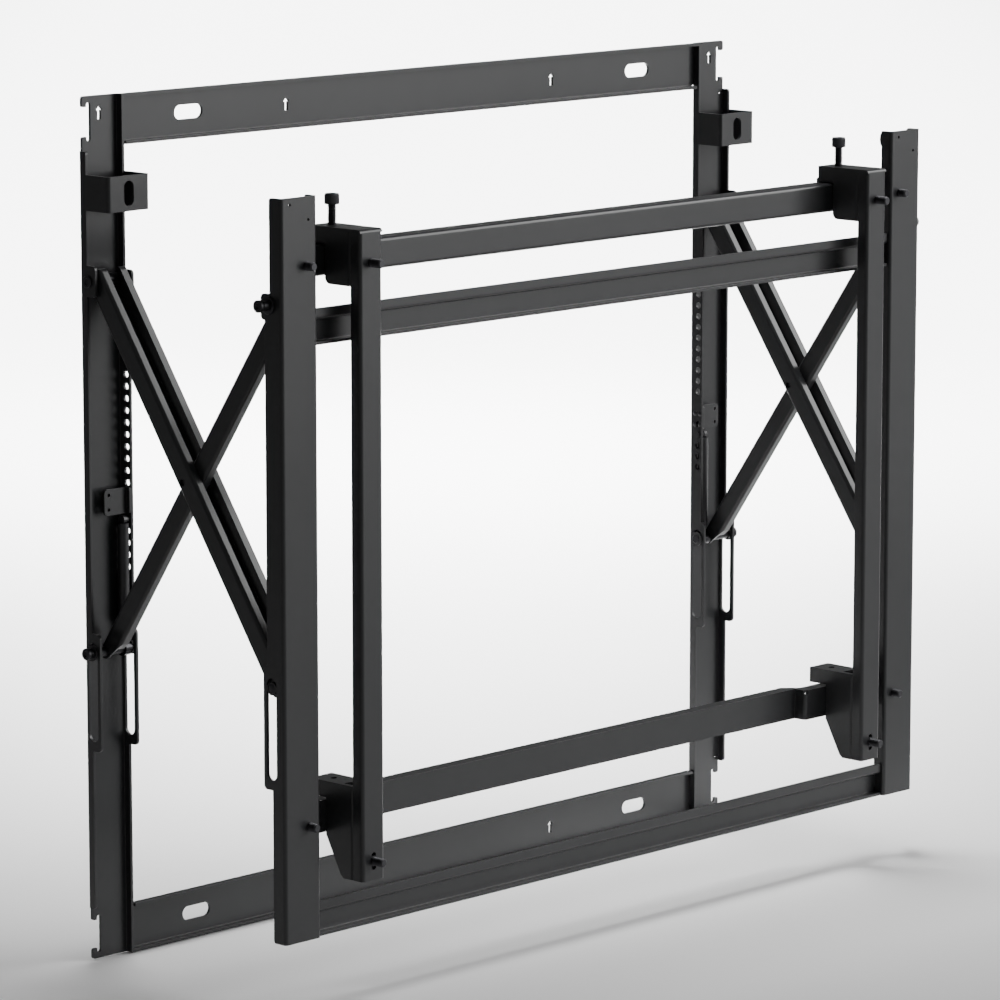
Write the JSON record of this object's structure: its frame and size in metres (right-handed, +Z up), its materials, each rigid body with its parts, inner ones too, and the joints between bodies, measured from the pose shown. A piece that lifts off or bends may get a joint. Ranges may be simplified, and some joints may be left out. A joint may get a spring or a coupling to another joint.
{
  "type": "video wall mount",
  "caption": "Pop-out video wall mount: a wall frame, scissor arms and a front frame with two adjustable upright arms that hold the panel.",
  "frame": {"origin": "centre of the four wall slots, on the wall plane", "axes": "X to the right, -Y out of the wall towards the viewer, Z up"},
  "size_m": [0.668, 0.2189, 0.592],
  "materials": {
    "black_paint": "satin black powder coat",
    "dark_fastener": "black zinc plated, slightly glossy",
    "bright_shaft": "turned steel, darkened",
    "nylon": "black nylon",
    "dark_tube": "gloss black"
  },
  "bodies": {
    "wall_frame": {"wall_upright_left": "black_paint", "wall_upright_right": "black_paint", "wall_rail_top": "black_paint", "wall_rail_bottom": "black_paint", "catch_plate_left": "black_paint", "catch_plate_right": "black_paint", "catch_rivets": "dark_fastener", "wall_pivot_bolt_left": "dark_fastener", "wall_pivot_bolt_right": "dark_fastener", "damper_tube_left": "dark_tube", "damper_tube_right": "dark_tube"},
    "outer_arm_left": {"outer_arm_left_outer": "black_paint", "outer_arm_left_inner": "black_paint", "outer_arm_spacers_left": "dark_tube", "centre_pin_left": "dark_fastener", "front_slot_shaft_left": "bright_shaft", "front_slot_rollers_left": "nylon"},
    "inner_arm_left": {"inner_arm_left": "black_paint", "wall_slot_shaft_left": "bright_shaft", "wall_slot_rollers_left": "nylon", "front_pivot_shaft_left": "dark_fastener"},
    "outer_arm_right": {"outer_arm_right_outer": "black_paint", "outer_arm_right_inner": "black_paint", "outer_arm_spacers_right": "dark_tube", "centre_pin_right": "dark_fastener", "front_slot_shaft_right": "bright_shaft", "front_slot_rollers_right": "nylon"},
    "inner_arm_right": {"inner_arm_right": "black_paint", "wall_slot_shaft_right": "bright_shaft", "wall_slot_rollers_right": "nylon", "front_pivot_shaft_right": "dark_fastener"},
    "damper_rod_left": {"damper_rod_left": "bright_shaft"},
    "damper_rod_right": {"damper_rod_right": "bright_shaft"},
    "front_frame": {"front_upright_left": "black_paint", "front_upright_right": "black_paint", "crossbar_top": "black_paint", "crossbar_bottom": "black_paint", "panel_rail_top": "black_paint", "panel_rail_bottom": "black_paint", "upright_studs": "dark_fastener"},
    "screw_foot_left": {"screw_foot_left": "dark_fastener"},
    "screw_foot_right": {"screw_foot_right": "dark_fastener"},
    "height_screw_left": {"height_screw_left": "dark_fastener"},
    "height_screw_right": {"height_screw_right": "dark_fastener"},
    "panel_arm_left": {"panel_arm_left": "black_paint", "top_bracket_left": "black_paint", "bottom_bracket_left": "black_paint", "panel_studs_left": "dark_fastener"},
    "panel_arm_right": {"panel_arm_right": "black_paint", "top_bracket_right": "black_paint", "bottom_bracket_right": "black_paint", "panel_studs_right": "dark_fastener"}
  },
  "joints": [
    {"name": "left_outer_arm_fold", "type": "hinge", "parent": "wall_frame", "child": "outer_arm_left", "pos_m": [-0.3075, -0.0082, 0.1723], "axis": [1, 0, 0], "range_deg": [0, 30.1]},
    {"name": "left_scissor_cross", "type": "hinge", "parent": "outer_arm_left", "child": "inner_arm_left", "pos_m": [-0.3075, -0.09495, 0.04565], "axis": [1, 0, 0], "range_deg": [-60.3, 0]},
    {"name": "front_frame_carry", "type": "hinge", "parent": "inner_arm_left", "child": "front_frame", "pos_m": [-0.3075, -0.1817, 0.1723], "axis": [1, 0, 0], "range_deg": [0, 30.2]},
    {"name": "right_outer_arm_fold", "type": "hinge", "parent": "wall_frame", "child": "outer_arm_right", "pos_m": [0.3075, -0.0082, 0.1723], "axis": [1, 0, 0], "range_deg": [0, 30.2]},
    {"name": "right_scissor_cross", "type": "hinge", "parent": "outer_arm_right", "child": "inner_arm_right", "pos_m": [0.3075, -0.09495, 0.04565], "axis": [1, 0, 0], "range_deg": [-60.3, 0]},
    {"name": "left_damper_eye", "type": "hinge", "parent": "inner_arm_left", "child": "damper_rod_left", "pos_m": [-0.3075, -0.0082, -0.081], "axis": [1, 0, 0], "range_deg": [0, 30.2]},
    {"name": "left_carrier_slide", "type": "slide", "parent": "front_frame", "child": "screw_foot_left", "axis": [-1, 0, 0], "range_m": [-0.018, 0.018]},
    {"name": "left_panel_arm_lift", "type": "slide", "parent": "screw_foot_left", "child": "panel_arm_left", "axis": [0, 0, 1], "range_m": [0, 0.008]},
    {"name": "left_height_screw_turn", "type": "hinge", "parent": "screw_foot_left", "child": "height_screw_left", "pos_m": [-0.257, -0.1724, 0.225], "axis": [0, 0, 1], "range_deg": [0, 2881]},
    {"name": "right_damper_eye", "type": "hinge", "parent": "inner_arm_right", "child": "damper_rod_right", "pos_m": [0.3075, -0.0082, -0.081], "axis": [1, 0, 0], "range_deg": [0, 30.2]},
    {"name": "right_carrier_slide", "type": "slide", "parent": "front_frame", "child": "screw_foot_right", "axis": [1, 0, 0], "range_m": [-0.018, 0.018]},
    {"name": "right_panel_arm_lift", "type": "slide", "parent": "screw_foot_right", "child": "panel_arm_right", "axis": [0, 0, 1], "range_m": [0, 0.008]},
    {"name": "right_height_screw_turn", "type": "hinge", "parent": "screw_foot_right", "child": "height_screw_right", "pos_m": [0.257, -0.1724, 0.225], "axis": [0, 0, 1], "range_deg": [0, 2881]}
  ],
  "couplings": [
    {"joint": "left_scissor_cross", "follows": "left_outer_arm_fold", "ratio": -2},
    {"joint": "front_frame_carry", "follows": "left_outer_arm_fold", "ratio": 1},
    {"joint": "right_outer_arm_fold", "follows": "left_outer_arm_fold", "ratio": 1},
    {"joint": "right_scissor_cross", "follows": "left_outer_arm_fold", "ratio": -2},
    {"joint": "left_damper_eye", "follows": "left_outer_arm_fold", "ratio": 1},
    {"joint": "left_height_screw_turn", "follows": "left_panel_arm_lift", "rad_per_m": 6283.2},
    {"joint": "right_damper_eye", "follows": "left_outer_arm_fold", "ratio": 1},
    {"joint": "right_height_screw_turn", "follows": "right_panel_arm_lift", "rad_per_m": 6283.2}
  ]
}
